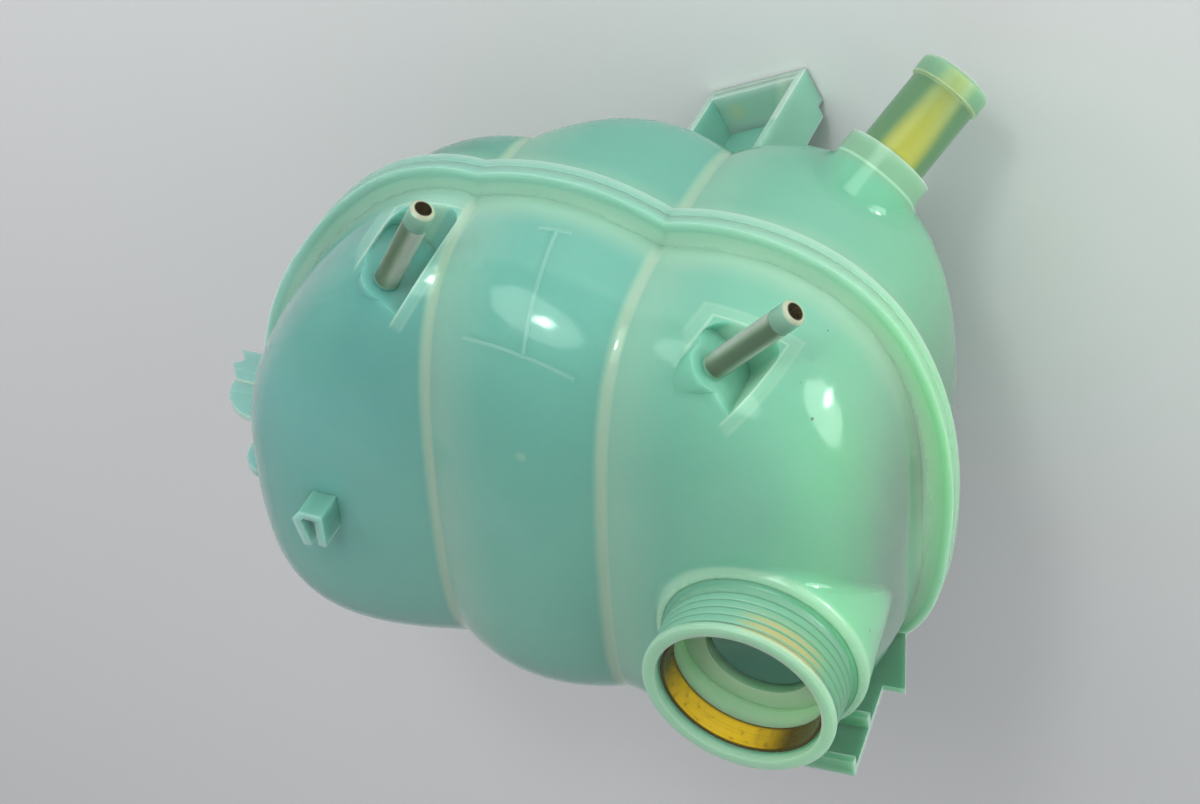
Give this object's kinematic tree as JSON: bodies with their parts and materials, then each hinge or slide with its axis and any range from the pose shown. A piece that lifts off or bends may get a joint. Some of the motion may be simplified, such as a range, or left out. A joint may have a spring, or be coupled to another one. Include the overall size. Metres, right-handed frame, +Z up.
{
  "type": "coolant expansion tank",
  "caption": "Translucent plastic coolant expansion tank of welded halves with a screw filler neck, vent spigots, an angled hose outlet and mounting brackets.",
  "frame": {"origin": "on the filler neck's axis, at the top of its metal ring", "axes": "+Z up along the neck's axis, out of the neck; +X along the tank, from the neck's lobe to the lobe at the other end; -Y to the front, where the spigots and the outlet are"},
  "size_m": [0.2318, 0.1804, 0.1716],
  "materials": {
    "tank_plastic": "milky translucent moulded polypropylene, softly glossy",
    "ring_brass": "worn, with dark patina",
    "sleeve_steel": "dull"
  },
  "bodies": {
    "root": {"upper_shell": "tank_plastic", "lower_shell": "tank_plastic", "neck_ring": "ring_brass", "outlet_sleeve": "ring_brass", "left_vent_sleeve": "sleeve_steel", "right_vent_sleeve": "sleeve_steel"}
  },
  "joints": []
}
